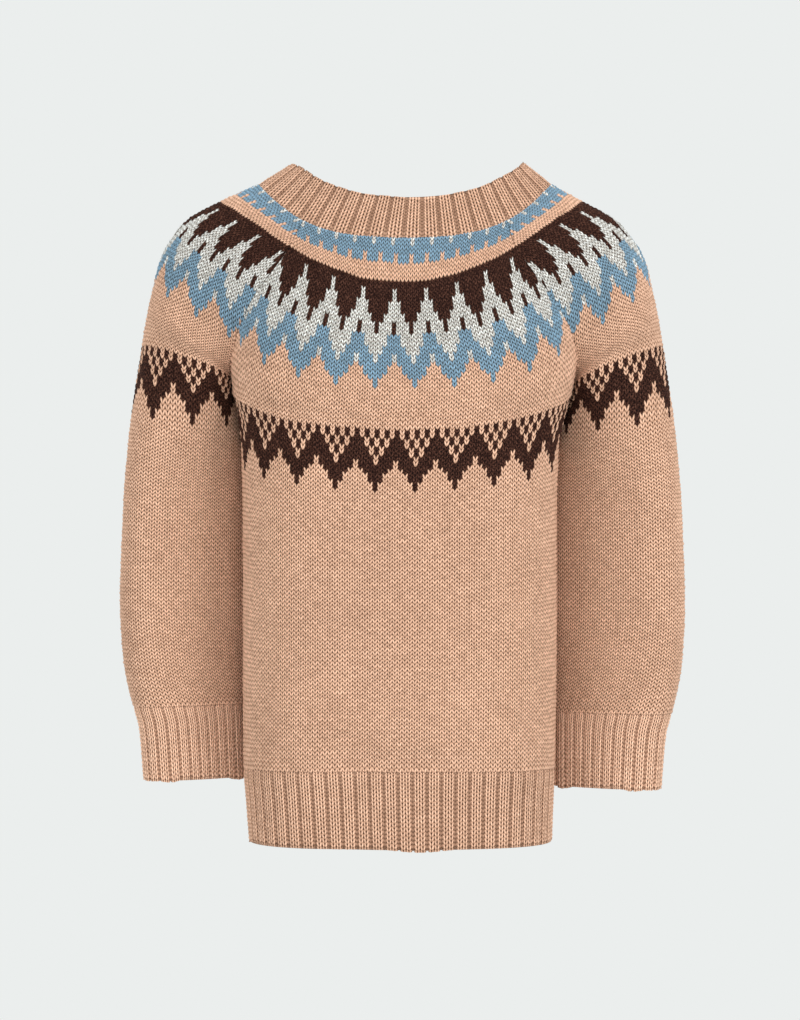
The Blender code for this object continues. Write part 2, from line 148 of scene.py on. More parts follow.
# Width of a stitch, millimetres, by row: the columns fan out from the neck
STITCH_COLUMNS = ("row", "width")
BODY_STITCH_WIDTHS = (
    (0.0, 2.50), (11.0, 2.52), (36.0, 3.20), (46.0, 3.22), (145.0, 3.22),
)
SLEEVE_STITCH_WIDTHS = (
    (0.0, 2.50), (11.0, 2.52), (36.0, 3.20), (50.0, 3.50), (145.0, 3.50),
)
BODY_END_ROW = 130
SLEEVE_END_ROW = 142
# Stitches from the middle column to the seam, where a panel or a sleeve is widest
BODY_HALF_STITCHES = 45
SLEEVE_HALF_STITCHES = 38
# Below this height and this near the middle plane, metres, a sleeve's own edges are joined
UNDERARM_Z = -0.128
INNER_X = 0.120

# How many rows a sleeve's inner side climbs, over how many stitches this grows, and the
# share of it at four rows
LEFT_CLIMB = 5.0
RIGHT_CLIMB = 3.0
CLIMB_STITCHES = 32.0
CLIMB_ROWS = (37.0, 50.0, 70.0, 116.0)
CLIMB_SHARES = (0.0, 1.0, 1.0, 0.0)

# First row of each band of pattern, and the stitches from one point to the next
NECK_PATTERN_ROW = 0
YOKE_PATTERN_ROW = 10
BODY_BAND_ROW = 46
SLEEVE_BAND_ROW = 51
REPEAT = 8
# Stitch that the points stand on, in the yoke and in the dark band
PANEL_POINTS = (2.0, 3.0)
LEFT_POINTS = (3.0, 2.0)
RIGHT_POINTS = (3.0, 3.0)
# Chart of the blue band under the neckband: pale dots at its top, beige gaps at its foot
NECK_ROWS = 6
DOT_ROWS = 2
DOT_REPEAT = 5.0
GAP_FIRST_ROW = 4
GAP_REPEAT = 4.0
MARK_STITCH = 2.0
# Chart of the yoke: rows where its points take their next step, its last row, and the
# step at which the brown, the white and the blue points end
YOKE_STEP_ROWS = (2, 5, 8, 10, 13, 16, 18, 20, 21, 23, 24)
YOKE_LAST_ROW = 25
BROWN_END_STEP = 4
WHITE_END_STEP = 7
BLUE_END_STEP = 11
# Chart of the dark band, two rows to a turn: turn of each fleck with its distance from the
# point's stitch, first row and distance of the notches, and the turn where the points narrow
BAND_TURNS = 7
BAND_FLECKS = ((0, 1), (0, 3), (1, 0), (1, 2), (2, 1), (3, 0))
BAND_NOTCHES = ((7, 4), (9, 3))
POINT_TURN = 5

# Mesh points to a stitch and to a row. Across one stitch: height on the row's line, height
# half way down the row, 0 low to 1 high, and the share of the dip
STITCH_POINTS = 4
ROW_POINTS = 2
STITCH_PROFILE = (
    (0.00, 0.80, 1.0), (0.12, 1.00, 0.0), (0.00, 0.62, -1.0), (0.12, 1.00, 0.0),
)
# Height that lies on the solid's face, how much of a stitch's chance slides it down, and
# the rows over which the dips fade at a panel's ends
FACE_HEIGHT = 0.6
SWAY_SHARE = 0.25
END_EASE_ROWS = 0.5
# Stitches end this far before a seam and the cloth there lies this much deeper, millimetres
EDGE_MARGIN = 0.15
EDGE_SINK = 0.1
# The inner face keeps every fourth point: one to a stitch and to two rows
LINING_STEP = 4
# Share, pitch in stitches, pitch in rows and start of each slow swell
WANDER_ROWS = (
    (0.9, 31.0, 47.0, 0.4), (0.8, -19.0, 26.0, 1.9), (0.7, 13.0, -21.0, 3.1),
    (0.5, 8.5, 15.0, 5.2), (0.4, -6.2, 9.5, 2.3),
)
# Faces smaller than this, square metres, are dropped, and points nearer than this are welded
SLIVER_AREA = 1.0e-10
WELD_DISTANCE = 2.0e-6

# Stitches from one rib to the next, and how many of them are knit. Share of the width that
# the knit ones take, and one rib across: share of its width, height, and dip
RIB_STITCHES = 4.0
KNIT_STITCHES = 2.0
KNIT_SHARE = 0.79
RIB_PROFILE = (
    (0.000, 0.50, -0.40), (0.097, 0.98, 0.00), (0.197, 0.80, 0.42), (0.298, 1.00, 0.00),
    (0.395, 0.66, -0.40), (0.492, 1.00, 0.00), (0.592, 0.80, 0.42), (0.693, 0.98, 0.00),
    (0.790, 0.50, -0.40), (0.832, 0.14, 0.00), (0.868, 0.03, 0.00), (0.905, 0.00, 0.00),
    (0.942, 0.03, 0.00), (0.975, 0.20, 0.00),
)
# Points higher than this are knit. What is added to a knit and a purl height on a row's
# line and half way down the row, and how uneven the heights are
KNIT_HEIGHT = 0.4
KNIT_WAVE = (-0.16, 0.10)
PURL_WAVE = (0.20, 0.0)
RIB_WOBBLE = 0.05
# Millimetres of dip where profile and stitch dip are both 1
RIB_DIP_SCALE = 7.0
# Half the step in level that gives a band's direction
LEVEL_STEP = 0.004
# Waves of a free edge: waves round the band, start and share. The powers say how near the
# edge its swell and its scallops stay
EDGE_WAVES = ((3.0, 1.1, 1.0), (7.0, 0.4, 0.7), (11.0, 0.0, 0.6))
SWELL_POWER = 2
SCALLOP_POWER = 8
# A band's first row is tucked under its neighbour: depth in millimetres and relief. Its
# relief then grows from a start by a step a row
TUCK_DEPTH = 0.9
TUCK_RELIEF = 0.2
FIRST_RELIEF = 0.55
RELIEF_STEP = 0.15
# Round the free edge: share of the bulge, share of the wall, relief, and rows past the last
EDGE_TURN = ((0.7, 0.2, 0.88, 0.3), (1.0, 0.55, 0.6, 0.6), (0.6, 0.9, 0.2, 0.9))
INSIDE_ROWS = 7
INSIDE_RELIEF = -0.25
# How far a free edge bulges past its last row, as a share of the band's depth
BULGE = 0.02
NECK_BULGE = 0.05
# Painted shade and light of each kind of band: how much painted shade its purl grooves take, and how
# much its yarn is brightened or darkened to make up for how that band is lit
BAND_PAINTED_LIGHT = {"body": (0.50, 1.03), "sleeve": (0.42, 1.22), "neck": (0.50, 0.95)}
# Start of each piece's chance
SEEDS = {
    "front": 11, "back": 12, "sleeve_left": 21, "sleeve_right": 22, "hem": 31,
    "cuff_left": 41, "cuff_right": 42, "neckband": 51,
}

# Scale, detail and roughness of the yarn's noises
HEATHER_NOISE = (900.0, 2.0, 0.6)
CLOUD_NOISE = (26.0, 2.0, 0.5)
FUZZ_NOISE = (2200.0, 3.0, 0.7)
# How much a stitch's chance, the heather and the slow clouds change its brightness
CHANCE_SHARE = 0.20
HEATHER_SHARE = 0.62
CLOUD_SHARE = 0.22
# Heather above the start shows as flecks, this much for each unit, and less in brown yarn
FLECK_START = 0.40
FLECK_GAIN = 4.0
BROWN_FLECK_SHARE = 0.8
# Painted shade: how dark the slits between legs and the lines between rows are painted, in rib and in
# stockinette
RIB_GROOVE_SHADE = (0.62, 0.55)
PLAIN_GROOVE_SHADE = (0.30, 0.80)
GROOVE_POWER = 1.5
LINE_ON_LEG = 0.6
# Painted highlight on a crest, what full painted shade takes from it, and the least that is left
CREST_HIGHLIGHT = 1.66
SHADE_FALL = 1.92
LEAST_SHADE = 0.04
# Green and blue fall faster than red, so that the painted shade in the grooves is warm
GREEN_POWER = 1.12
BLUE_POWER = 1.22
# Least share of the painted shade in a purl groove, and how fast it comes in from the band's first row
PURL_LEAST = 0.25
PURL_STEP = 0.5
YARN_ROUGHNESS = 0.80
LEG_POLISH = 0.12
YARN_FINISH = {
    "Metallic": 0.0, "Specular IOR Level": 0.10, "Sheen Weight": 0.01,
    "Sheen Roughness": 0.5, "Sheen Tint": (1.0, 0.93, 0.88, 1.0),
}
# Turns of the ply down a row and across a stitch, and the heights of ply and fuzz
PLY_DOWN = 2.0
PLY_ACROSS = 3.0
PLY_HEIGHT = 0.25
FUZZ_HEIGHT = 0.9
BUMP_STRENGTH = 0.55
BUMP_DISTANCE = 0.0004

# Stage, metres; the floor's noise has a scale, detail and roughness too
FLOOR_Z = -1.15
FLOOR_RADIUS = 3.0
FLOOR_SIDES = 96
FLOOR_ROUGHNESS = 0.95
FLOOR_NOISE = (3.0, 2.0, 0.5)
FLOOR_GRAIN = 0.01
CAMERA_DISTANCE = 2.2
CAMERA_X = -0.00165
CAMERA_Z = -0.2112
VIEW_WIDTH = 0.528
SENSOR = 36.0
# Name, place, size and power of each lamp, and the point that all of them face
LAMP_ROWS = (
    ("right_light", (1.7, -1.8, 0.75), 1.1, 17.0),
    ("left_light", (-1.7, -1.8, 0.55), 1.3, 9.0),
    ("top_light", (0.0, -0.9, 2.0), 1.2, 9.0),
    ("front_light", (0.2, -2.6, 0.1), 1.6, 22.0),
)
LAMP_AIM = (0.0, 0.0, -0.2)


def tracks(columns, rows):
    # smooth curve through each column that never overshoots its rows
    data = np.array(rows, dtype=float)
    place = data[:, 0]
    curves = {}
    for index, name in enumerate(columns):
        value = data[:, index]
        step = np.diff(place)
        slope = np.diff(value) / step
        tangent = np.zeros(len(place))
        tangent[0] = slope[0]
        tangent[-1] = slope[-1]
        for k in range(1, len(place) - 1):
            if slope[k - 1] * slope[k] > 0.0:
                w_a = 2.0 * step[k] + step[k - 1]
                w_b = step[k] + 2.0 * step[k - 1]
                tangent[k] = (w_a + w_b) / (w_a / slope[k - 1] + w_b / slope[k])
        curves[name] = (place, value, tangent)
    return curves


def at(curves, name, level):
    # value of a named column at any level
    place, value, tangent = curves[name]
    level = np.clip(level, place[0], place[-1])
    k = np.clip(np.searchsorted(place, level, side="right") - 1, 0, len(place) - 2)
    step = place[k + 1] - place[k]
    t = (level - place[k]) / step
    t2 = t * t
    t3 = t2 * t
    return ((2 * t3 - 3 * t2 + 1) * value[k] + (t3 - 2 * t2 + t) * step * tangent[k]
            + (3 * t2 - 2 * t3) * value[k + 1] + (t3 - t2) * step * tangent[k + 1])


BODY = tracks(BODY_COLUMNS, BODY_ROWS)
SLEEVE = tracks(SLEEVE_COLUMNS, SLEEVE_ROWS)


def bezier(p0, p1, p2, p3, t):
    t = t[..., None]
    s = 1.0 - t
    return s ** 3 * p0 + 3 * s * s * t * p1 + 3 * s * t * t * p2 + t ** 3 * p3


def point(x, y, z):
    return np.stack(np.broadcast_arrays(x, y, z), axis=-1).astype(float)


def seam_line(level, side, face):
    # millimetre point where a body panel meets the sleeve or the other panel
    suffix = "front" if face < 0 else "back"
    x = side * at(BODY, "seam_x", level) + at(BODY, "shift", level)
    return point(x, at(BODY, "seam_" + suffix + "_y", level), at(BODY, "seam_z", level))


def seam_way(turn, side, face):
    # outward direction of a section where it crosses the seam, in plan
    angle = np.radians(turn)
    return point(side * np.cos(angle), -face * np.sin(angle), 0.0 * angle)


def seam_step(level, side, face):
    # half the seam gap, outward, halfway between the two panels' directions
    suffix = "front" if face < 0 else "back"
    body_turn = at(BODY, "turn_" + suffix, level)
    sleeve_turn = at(SLEEVE, "turn_" + suffix, level)
    return 0.5 * SEAM_GAP / MM * seam_way(0.5 * (body_turn + sleeve_turn), side, face)


def folds(points, face):
    # sinks the soft troughs into a panel
    rows = FRONT_FOLDS if face < 0 else BACK_FOLDS
    x = points[..., 0]
    z = points[..., 2]
    drop = 0.0 * x
    for cx, cz, half_width, half_length, slant, depth in rows:
        along = (z - cz) / half_length
        across = (x - cx - slant * (z - cz)) / half_width
        drop = drop + depth * np.exp(-across ** 2 - along ** 2)
    reach = np.clip(np.abs(points[..., 1]) / FOLD_DEPTH_SCALE, 0.0, 1.0) ** 2
    moved = points.copy()
    moved[..., 1] = points[..., 1] - face * drop * reach
    return moved


def body_half(level, t, side, face, gapped=True):
    # from the panel's middle (t 0) to its seam (t 1), millimetres
    suffix = "front" if face < 0 else "back"
    shift = at(BODY, "shift", level)
    middle = point(shift, at(BODY, suffix + "_y", level), at(BODY, suffix + "_z", level))
    seam = seam_line(level, side, face)
    way = seam_way(at(BODY, "turn_" + suffix, level), side, face)
    if gapped:
        seam = seam - seam_step(level, side, face)
        below = np.clip((level - SPLIT_START) / (UNDERARM - SPLIT_START), 0.0, 1.0)
        seam[..., 1] += face * 0.5 * SEAM_GAP / MM * below
    reach = at(BODY, "round", level)[..., None]
    lead = middle + point(side * at(BODY, "flat", level), 0.0, 0.0)
    tail = seam - reach * way
    tail[..., 2] -= reach[..., 0] * at(BODY, "rise", level)
    return folds(bezier(middle, lead, tail, seam, t), face)


def sleeve_drop(points, side):
    # the right sleeve hangs a little lower
    if side < 0:
        return points
    share = np.clip((points[..., 2] * MM - SLEEVE_DROP_TOP) / (SLEEVE_DROP_END - SLEEVE_DROP_TOP),
                    0.0, SLEEVE_DROP_MOST)
    moved = points.copy()
    moved[..., 2] = points[..., 2] - share * RIGHT_SLEEVE_DROP / MM
    return moved


def sleeve_half(level, t, side, face):
    # from the seam or inner line (t 0) to the outer line (t 1), millimetres
    suffix = "front" if face < 0 else "back"
    seam = seam_line(level, side, face) + seam_step(level, side, face)
    inner_x = side * (at(BODY, "seam_x", level) + at(SLEEVE, "clear", level))
    inner_x = inner_x + at(BODY, "shift", level) + side * 0.5 * SEAM_GAP / MM
    inner = point(inner_x, at(SLEEVE, "in_y", level), at(SLEEVE, "in_z", level))
    start = np.where((level > UNDERARM)[..., None], inner, seam)
    outer_x = side * at(SLEEVE, "out_x", level) + at(SLEEVE, "out_shift", level)
    outer = point(outer_x, at(SLEEVE, "out_y", level), at(SLEEVE, "out_z", level))
    way = seam_way(at(SLEEVE, "turn_" + suffix, level), side, face)
    lead_length = at(SLEEVE, "lead", level)
    fade = np.clip((RISE_END - level) / (RISE_END - UNDERARM), 0.0, 1.0)
    rise = np.where(level > UNDERARM, RISE_AT_UNDERARM * fade, at(BODY, "rise", level))
    lead = start + lead_length[..., None] * way
    lead[..., 2] += lead_length * rise
    tail = outer + point(0.0 * level, face * at(SLEEVE, "round", level), 0.0 * level)
    return sleeve_drop(bezier(start, lead, tail, outer, t), side)


def ring(level, kind, side):
    # closed section at one level, dense, from the middle front or the inner line
    t = np.linspace(0.0, 1.0, RING_SAMPLES)
    level = np.full(RING_SAMPLES, float(level))
    parts = []
    for hand in (side,) if kind == "sleeve" else (1, -1):
        near = -1 if kind == "sleeve" else -hand
        if kind != "sleeve":
            parts.append(body_half(level, t, hand, near, False))
        if kind != "body":
            parts.append(sleeve_half(level, t, hand, near))
            parts.append(sleeve_half(level, t, hand, -near)[::-1])
        if kind != "sleeve":
            parts.append(body_half(level, t, hand, -near, False)[::-1])
    return np.concatenate(parts)


def evenly(loop, shares):
    # points of a closed loop at the given shares of its length
    closed = np.vstack([loop, loop[:1]])
    gaps = np.linalg.norm(np.diff(closed, axis=0), axis=1)
    run = np.concatenate([[0.0], np.cumsum(gaps)])
    return np.stack([np.interp(np.asarray(shares) * run[-1], run, closed[:, k])
                     for k in range(3)], axis=-1)


BODY_ROWS_TO_LEVEL = tracks(ROW_COLUMNS, BODY_ROW_LEVELS)
SLEEVE_ROWS_TO_LEVEL = tracks(ROW_COLUMNS, SLEEVE_ROW_LEVELS)
BODY_STITCHES = tracks(STITCH_COLUMNS, BODY_STITCH_WIDTHS)
SLEEVE_STITCHES = tracks(STITCH_COLUMNS, SLEEVE_STITCH_WIDTHS)


# Sizes and colours that a user would change
def metres(name, description, default, least=0.0):
    return bpy.props.FloatProperty(name=name, description=description, default=default,
                                   min=least, unit="LENGTH", subtype="DISTANCE")


def amount(name, description, default, most):
    return bpy.props.FloatProperty(name=name, description=description, default=default,
                                   min=0.0, max=most, subtype="FACTOR")


def whole_number(name, description, default, least):
    return bpy.props.IntProperty(name=name, description=description, default=default, min=least)


def tint(name, description, *default):
    return bpy.props.FloatVectorProperty(name=name, description=description, subtype="COLOR",
                                         size=4, default=default + (1.0,), min=0.0, max=1.0)


class SweaterSizes(bpy.types.PropertyGroup):
    relief: metres("Stitch relief", "How far a stitch stands above its grooves", 0.00104)
    rib_height: metres("Rib height", "How far a knit rib stands above the purl groove", 0.0017)
    rib_sink: metres("Rib sink", "How far the purl grooves lie under the cloth's face", 0.0012)
    wall: metres("Cloth thickness", "Thickness of the knitted cloth", 0.0021, 0.0005)
    band_wall: metres("Neckband thickness", "Thickness of the folded neckband", 0.0034, 0.0005)
    dip: amount("Stitch dip", "How far the middle of a V lies below its arms, in rows", 0.40, 0.6)
    unevenness: amount("Unevenness", "How much one stitch differs from the next", 0.16, 0.5)
    waviness: amount("Waviness", "How far the knitted rows wander, in rows", 0.10, 0.5)
    scallop: metres("Scallop", "How far the free edges draw in at the purl grooves", 0.0010)
    edge_wave: metres("Edge wave", "How unevenly the free edges hang", 0.0007)
    hem_ribs: whole_number("Hem ribs", "Ribs round the hem", 58, 8)
    cuff_ribs: whole_number("Cuff ribs", "Ribs round a cuff", 26, 8)
    neck_ribs: whole_number("Neck ribs", "Ribs round the neckband", 42, 8)
    hem_rows: whole_number("Hem rows", "Knitted rows of hem and cuffs", 19, 4)
    neck_rows: whole_number("Neckband rows", "Knitted rows up the neckband", 12, 4)


class SweaterColours(bpy.types.PropertyGroup):
    beige: tint("Beige yarn", "Main plied yarn", 0.565, 0.334, 0.224)
    blue: tint("Blue yarn", "Light blue plied yarn", 0.160, 0.245, 0.314)
    brown: tint("Brown yarn", "Dark brown brushed yarn", 0.015, 0.0035, 0.0020)
    brown_fleck: tint("Brown flecks", "Paler fibres in the brown yarn", 0.085, 0.034, 0.021)
    white: tint("White yarn", "Off-white heathered brushed yarn", 0.640, 0.612, 0.565)
    white_fleck: tint("White yarn flecks", "Grey fibres in the white yarn", 0.350, 0.335, 0.308)
    backdrop: tint("Backdrop", "Even pale surroundings", 0.831, 0.855, 0.847)
    floor: tint("Floor", "Pale floor paper", 0.240, 0.247, 0.245)
    floor_glow: tint("Floor glow", "Even light of the backlit floor paper", 0.440, 0.453, 0.449)


class Wire:
    # a shader socket that takes part in Python expressions

    def __init__(self, recipe, socket):
        self.recipe = recipe
        self.socket = socket

    def math(self, operation, *others):
        return self.recipe.node("ShaderNodeMath", {"operation": operation},
                                {i: v for i, v in enumerate((self,) + others)})

    def __add__(self, other):
        return self.math("ADD", other)

    __radd__ = __add__

    def __sub__(self, other):
        return self.math("SUBTRACT", other)

    def __rsub__(self, other):
        return self.recipe.node("ShaderNodeMath", {"operation": "SUBTRACT"}, {0: other, 1: self})

    def __mul__(self, other):
        return self.math("MULTIPLY", other)

    __rmul__ = __mul__

    def __pow__(self, other):
        return self.math("POWER", other)

    def __abs__(self):
        return self.math("ABSOLUTE")

    def __mod__(self, other):
        return self.math("FLOORED_MODULO", other)

    def __lt__(self, other):
        return self.math("LESS_THAN", other)

    def __gt__(self, other):
        return self.math("GREATER_THAN", other)

    def floor(self):
        return self.math("FLOOR")

    def fract(self):
        return self.math("FRACT")

    def sine(self):
        return self.math("SINE")

    def most(self, other):
        return self.math("MAXIMUM", other)

    def least(self, other):
        return self.math("MINIMUM", other)

    def is_near(self, other):
        # whole numbers that are the same
        return self.math("COMPARE", other, 0.4)


class Recipe:
    # one material's nodes

    def __init__(self, name):
        self.material = bpy.data.materials.new(name)
        self.material.use_nodes = True
        self.tree = self.material.node_tree
        self.shader = self.tree.nodes["Principled BSDF"]

    def put(self, socket, value):
        if isinstance(value, Wire):
            self.tree.links.new(value.socket, socket)
        else:
            socket.default_value = value

    def node(self, kind, settings=None, values=None, out=0):
        made = self.tree.nodes.new(kind)
        for key, value in (settings or {}).items():
            setattr(made, key, value)
        for key, value in (values or {}).items():
            self.put(made.inputs[key], value)
        return Wire(self, made.outputs[out])

    def mix(self, factor, a, b, blend="MIX"):
        made = self.tree.nodes.new("ShaderNodeMix")
        made.data_type = "RGBA"
        made.blend_type = blend
        made.clamp_factor = True
        self.put(made.inputs[0], factor)
        self.put(made.inputs[6], a)
        self.put(made.inputs[7], b)
        return Wire(self, made.outputs[2])

    def noise(self, place, look):
        scale, detail, roughness = look
        return self.node("ShaderNodeTexNoise", {"noise_dimensions": "3D"}, {
            "Vector": place, "Scale": scale, "Detail": detail, "Roughness": roughness})

    def split(self, vector):
        made = self.tree.nodes.new("ShaderNodeSeparateXYZ")
        self.put(made.inputs[0], vector)
        return [Wire(self, made.outputs[k]) for k in range(3)]


def stitch_places(recipe):
    # stitch and row coordinates, and how near the surface is to a leg of the V and to a row's line
    uv = recipe.node("ShaderNodeUVMap", {"uv_map": "Stitches"})
    across, down, _ = recipe.split(uv)
    column = (across + 0.5).floor()
    row = down.floor()
    in_stitch = (across + 0.5).fract() - 0.5
    side = abs(in_stitch) * 2.0
    leg = 1.0 - abs(side - 0.5) * 2.0
    line = abs(down.fract() - 0.5) * 2.0
    return across, down, column, row, in_stitch, leg, line


def from_point(column, point_stitch):
    # stitches between a column and the nearest point of the pattern
    return abs((column - point_stitch + REPEAT / 2) % REPEAT - REPEAT / 2)


def band_masks(column, row, band_row, yoke_point, band_point):
    # 0 or 1 for each yarn, worked out from the charted repeats
    place = row - NECK_PATTERN_ROW
    neck = (place > -0.5) * (place < NECK_ROWS - 0.5)
    dots = (place < DOT_ROWS - 0.5) * (column % DOT_REPEAT).is_near(MARK_STITCH)
    gaps = (place > GAP_FIRST_ROW - 0.5) * (column % GAP_REPEAT).is_near(MARK_STITCH)
    neck_white = neck * dots
    neck_blue = neck * (1.0 - dots) * (1.0 - gaps)

    apart = from_point(column, yoke_point)
    place = row - YOKE_PATTERN_ROW
    yoke = (place > -0.5) * (place < YOKE_LAST_ROW + 0.5)
    step = 0.0
    for start in YOKE_STEP_ROWS:
        step = step + (place > start - 0.5)
    upper = step < BROWN_END_STEP + 0.5
    white_steps = step < WHITE_END_STEP + 0.5
    midway = apart > REPEAT / 2 - 0.5
    reach = apart + step
    brown_point = (reach < BROWN_END_STEP + 0.5).most(step.is_near(BROWN_END_STEP) * midway)
    white_point = (reach < WHITE_END_STEP + 0.5).most(step.is_near(WHITE_END_STEP) * midway)
    white_point = white_point * white_steps
    blue_point = white_steps.most(reach < BLUE_END_STEP + 0.5)
    brown = yoke * upper * brown_point
    white = yoke * (upper * (1.0 - brown_point) + (1.0 - upper) * white_point)
    blue = yoke * (1.0 - upper) * blue_point * (1.0 - white_point)

    near = from_point(column, band_point)
    place = row - band_row
    turn = (place * 0.5).floor()
    band = (turn > -0.5) * (turn < BAND_TURNS - 0.5)
    beige = (turn > POINT_TURN - 0.5) * (near + turn > BAND_TURNS - 0.5)
    for first_row, distance in BAND_NOTCHES:
        beige = beige.most((place > first_row - 0.5) * (near > distance - 0.5))
    for fleck_turn, distance in BAND_FLECKS:
        beige = beige.most(turn.is_near(fleck_turn) * near.is_near(distance))
    brown_band = band * (1.0 - beige)
    return neck_blue + blue, neck_white + white, brown + brown_band


def yarn_material(name, colours, pattern=None, ribs=0.0, light_gain=1.0):
    # wool with painted shade in its stitches' grooves and a painted highlight on their crests,
    # heather, ply and fuzz; ribs is how much painted shade the purl grooves take, and its gain
    # brightens or darkens the yarn to make up for how its band is lit
    recipe = Recipe(name)
    across, down, column, row, in_stitch, leg, line = stitch_places(recipe)
    place = recipe.node("ShaderNodeTexCoord", out=3)
    heather = recipe.noise(place, HEATHER_NOISE)
    cloud = recipe.noise(place, CLOUD_NOISE)
    cell = recipe.node("ShaderNodeCombineXYZ", None, {0: column, 1: row, 2: 0.0})
    chance = recipe.node("ShaderNodeTexWhiteNoise", {"noise_dimensions": "3D"}, {"Vector": cell})
    colour = tuple(colours.beige)
    brushed = 0.0
    if pattern:
        blue, white, brown = band_masks(column, row, *pattern)
        colour = recipe.mix(blue, colour, tuple(colours.blue))
        fleck = ((heather - FLECK_START) * FLECK_GAIN).most(0.0)
        pale = recipe.mix(fleck, tuple(colours.white_fleck), tuple(colours.white))
        dark = recipe.mix(fleck * BROWN_FLECK_SHARE, tuple(colours.brown),
                          tuple(colours.brown_fleck))
        colour = recipe.mix(white, colour, pale)
        colour = recipe.mix(brown, colour, dark)
        brushed = white.most(brown)
    # The gain is painted light: it brightens or darkens the yarn for how its band is lit. Chance,
    # heather and clouds are the yarn's own uneven tone
    level = (light_gain + CHANCE_SHARE * (chance - 0.5) + HEATHER_SHARE * (heather - 0.5)
             + CLOUD_SHARE * (cloud - 0.5))
    # Painted shade in the slits between a V's legs and in the lines between rows, and a painted
    # highlight on each crest
    slit = 1.0 - leg
    slit_shade, line_shade = RIB_GROOVE_SHADE if ribs else PLAIN_GROOVE_SHADE
    dark = line_shade * line ** GROOVE_POWER * (LINE_ON_LEG + (1.0 - LINE_ON_LEG) * slit)
    dark = dark + slit_shade * slit ** GROOVE_POWER
    shade = level * (CREST_HIGHLIGHT - SHADE_FALL * dark)
    # Painted shade deepens the purl grooves of a rib
    if ribs:
        in_rib = (across + 0.5) % RIB_STITCHES
        purl = in_rib > KNIT_STITCHES
        trough = 1.0 - abs(in_rib - 0.5 * (KNIT_STITCHES + RIB_STITCHES))
        begun = (down * PURL_STEP).least(1.0)
        shade = shade * (1.0 - ribs * purl * trough.most(PURL_LEAST) * begun)
    shade = shade.most(LEAST_SHADE)
    # The painted shade turns warm: green and blue fall faster than red
    warm_shade = recipe.node("ShaderNodeCombineColor", None,
                       {0: shade, 1: shade ** GREEN_POWER, 2: shade ** BLUE_POWER})
    colour = recipe.mix(1.0, colour, warm_shade, "MULTIPLY")
    recipe.put(recipe.shader.inputs["Base Color"], colour)
    recipe.put(recipe.shader.inputs["Roughness"], YARN_ROUGHNESS - LEG_POLISH * leg)
    for socket, value in YARN_FINISH.items():
        recipe.put(recipe.shader.inputs[socket], value)
    lean = (in_stitch > 0.0) * 2.0 - 1.0
    ply = ((down * PLY_DOWN - across * lean * PLY_ACROSS) * (2.0 * math.pi)).sine()
    fuzz = recipe.noise(place, FUZZ_NOISE)
    height = ply * PLY_HEIGHT * (1.0 - brushed) + fuzz * FUZZ_HEIGHT
    bump = recipe.node("ShaderNodeBump", None, {
        "Strength": BUMP_STRENGTH, "Distance": BUMP_DISTANCE, "Height": height})
    recipe.put(recipe.shader.inputs["Normal"], bump)
    return recipe.material


def grid_mesh(name, points, coordinates, weld, flip):
    # a grid laid on its worked-out places, with stitch coordinates as its UV map
    rows = points.shape[0] - 1
    columns = points.shape[1] - 1
    shape = bmesh.new()
    bmesh.ops.create_grid(shape, x_segments=columns, y_segments=rows, size=1.0)
    mesh = bpy.data.meshes.new(name)
    shape.to_mesh(mesh)
    shape.free()
    count = len(mesh.vertices)
    flat = np.empty(count * 3)
    mesh.vertices.foreach_get("co", flat)
    flat = flat.reshape(count, 3)
    j = np.rint((flat[:, 0] + 1.0) / 2.0 * columns).astype(int)
    i = np.rint((flat[:, 1] + 1.0) / 2.0 * rows).astype(int)
    mesh.vertices.foreach_set("co", (points[i, j] * MM).astype(np.float32).ravel())
    corner = np.empty(len(mesh.loops), dtype=np.int32)
    mesh.loops.foreach_get("vertex_index", corner)
    layer = mesh.uv_layers.new(name="Stitches")
    layer.data.foreach_set("uv", coordinates[i, j][corner].astype(np.float32).ravel())
    shape = bmesh.new()
    shape.from_mesh(mesh)
    slivers = [face for face in shape.faces if face.calc_area() < SLIVER_AREA]
    bmesh.ops.delete(shape, geom=slivers, context="FACES")
    if weld:
        near = [vert for vert in shape.verts if weld(vert.co)]
        bmesh.ops.remove_doubles(shape, verts=near, dist=WELD_DISTANCE)
    if flip:
        bmesh.ops.reverse_faces(shape, faces=shape.faces[:])
    for face in shape.faces:
        face.smooth = True
    shape.to_mesh(mesh)
    shape.free()
    mesh.update()
    return mesh


def finish_piece(name, mesh, material, node):
    # dresses a piece's mesh and ties it to its frame node
    piece = bpy.data.objects.new(name, mesh)
    bpy.context.scene.collection.objects.link(piece)
    mesh.materials.append(material)
    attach(piece, "root")
    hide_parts(node)
    return piece


def along(curve, levels, distances):
    # points of each section at given lengths from its start, and its whole length
    t = np.linspace(0.0, 1.0, SECTION_SAMPLES)
    level, share = np.meshgrid(levels, t, indexing="ij")
    dense = curve(level, share)
    gaps = np.linalg.norm(np.diff(dense, axis=1), axis=2)
    run = np.concatenate([np.zeros((len(levels), 1)), np.cumsum(gaps, axis=1)], axis=1)
    shares = np.empty_like(distances)
    for k in range(len(levels)):
        shares[k] = np.interp(distances[k], run[k], t)
    level = np.broadcast_to(levels[:, None], shares.shape)
    return curve(level, shares), run[:, -1]


def unit(vectors):
    length = np.linalg.norm(vectors, axis=-1, keepdims=True)
    return vectors / np.maximum(length, 1.0e-9)


def wander(across, down):
    # slow swell of a hand-worked cloth; the rows give its pitch in stitches and rows
    total = 0.0 * across * down
    for share, columns, rows, start in WANDER_ROWS:
        total = total + share * np.sin(2.0 * math.pi * (across / columns + down / rows) + start)
    return total


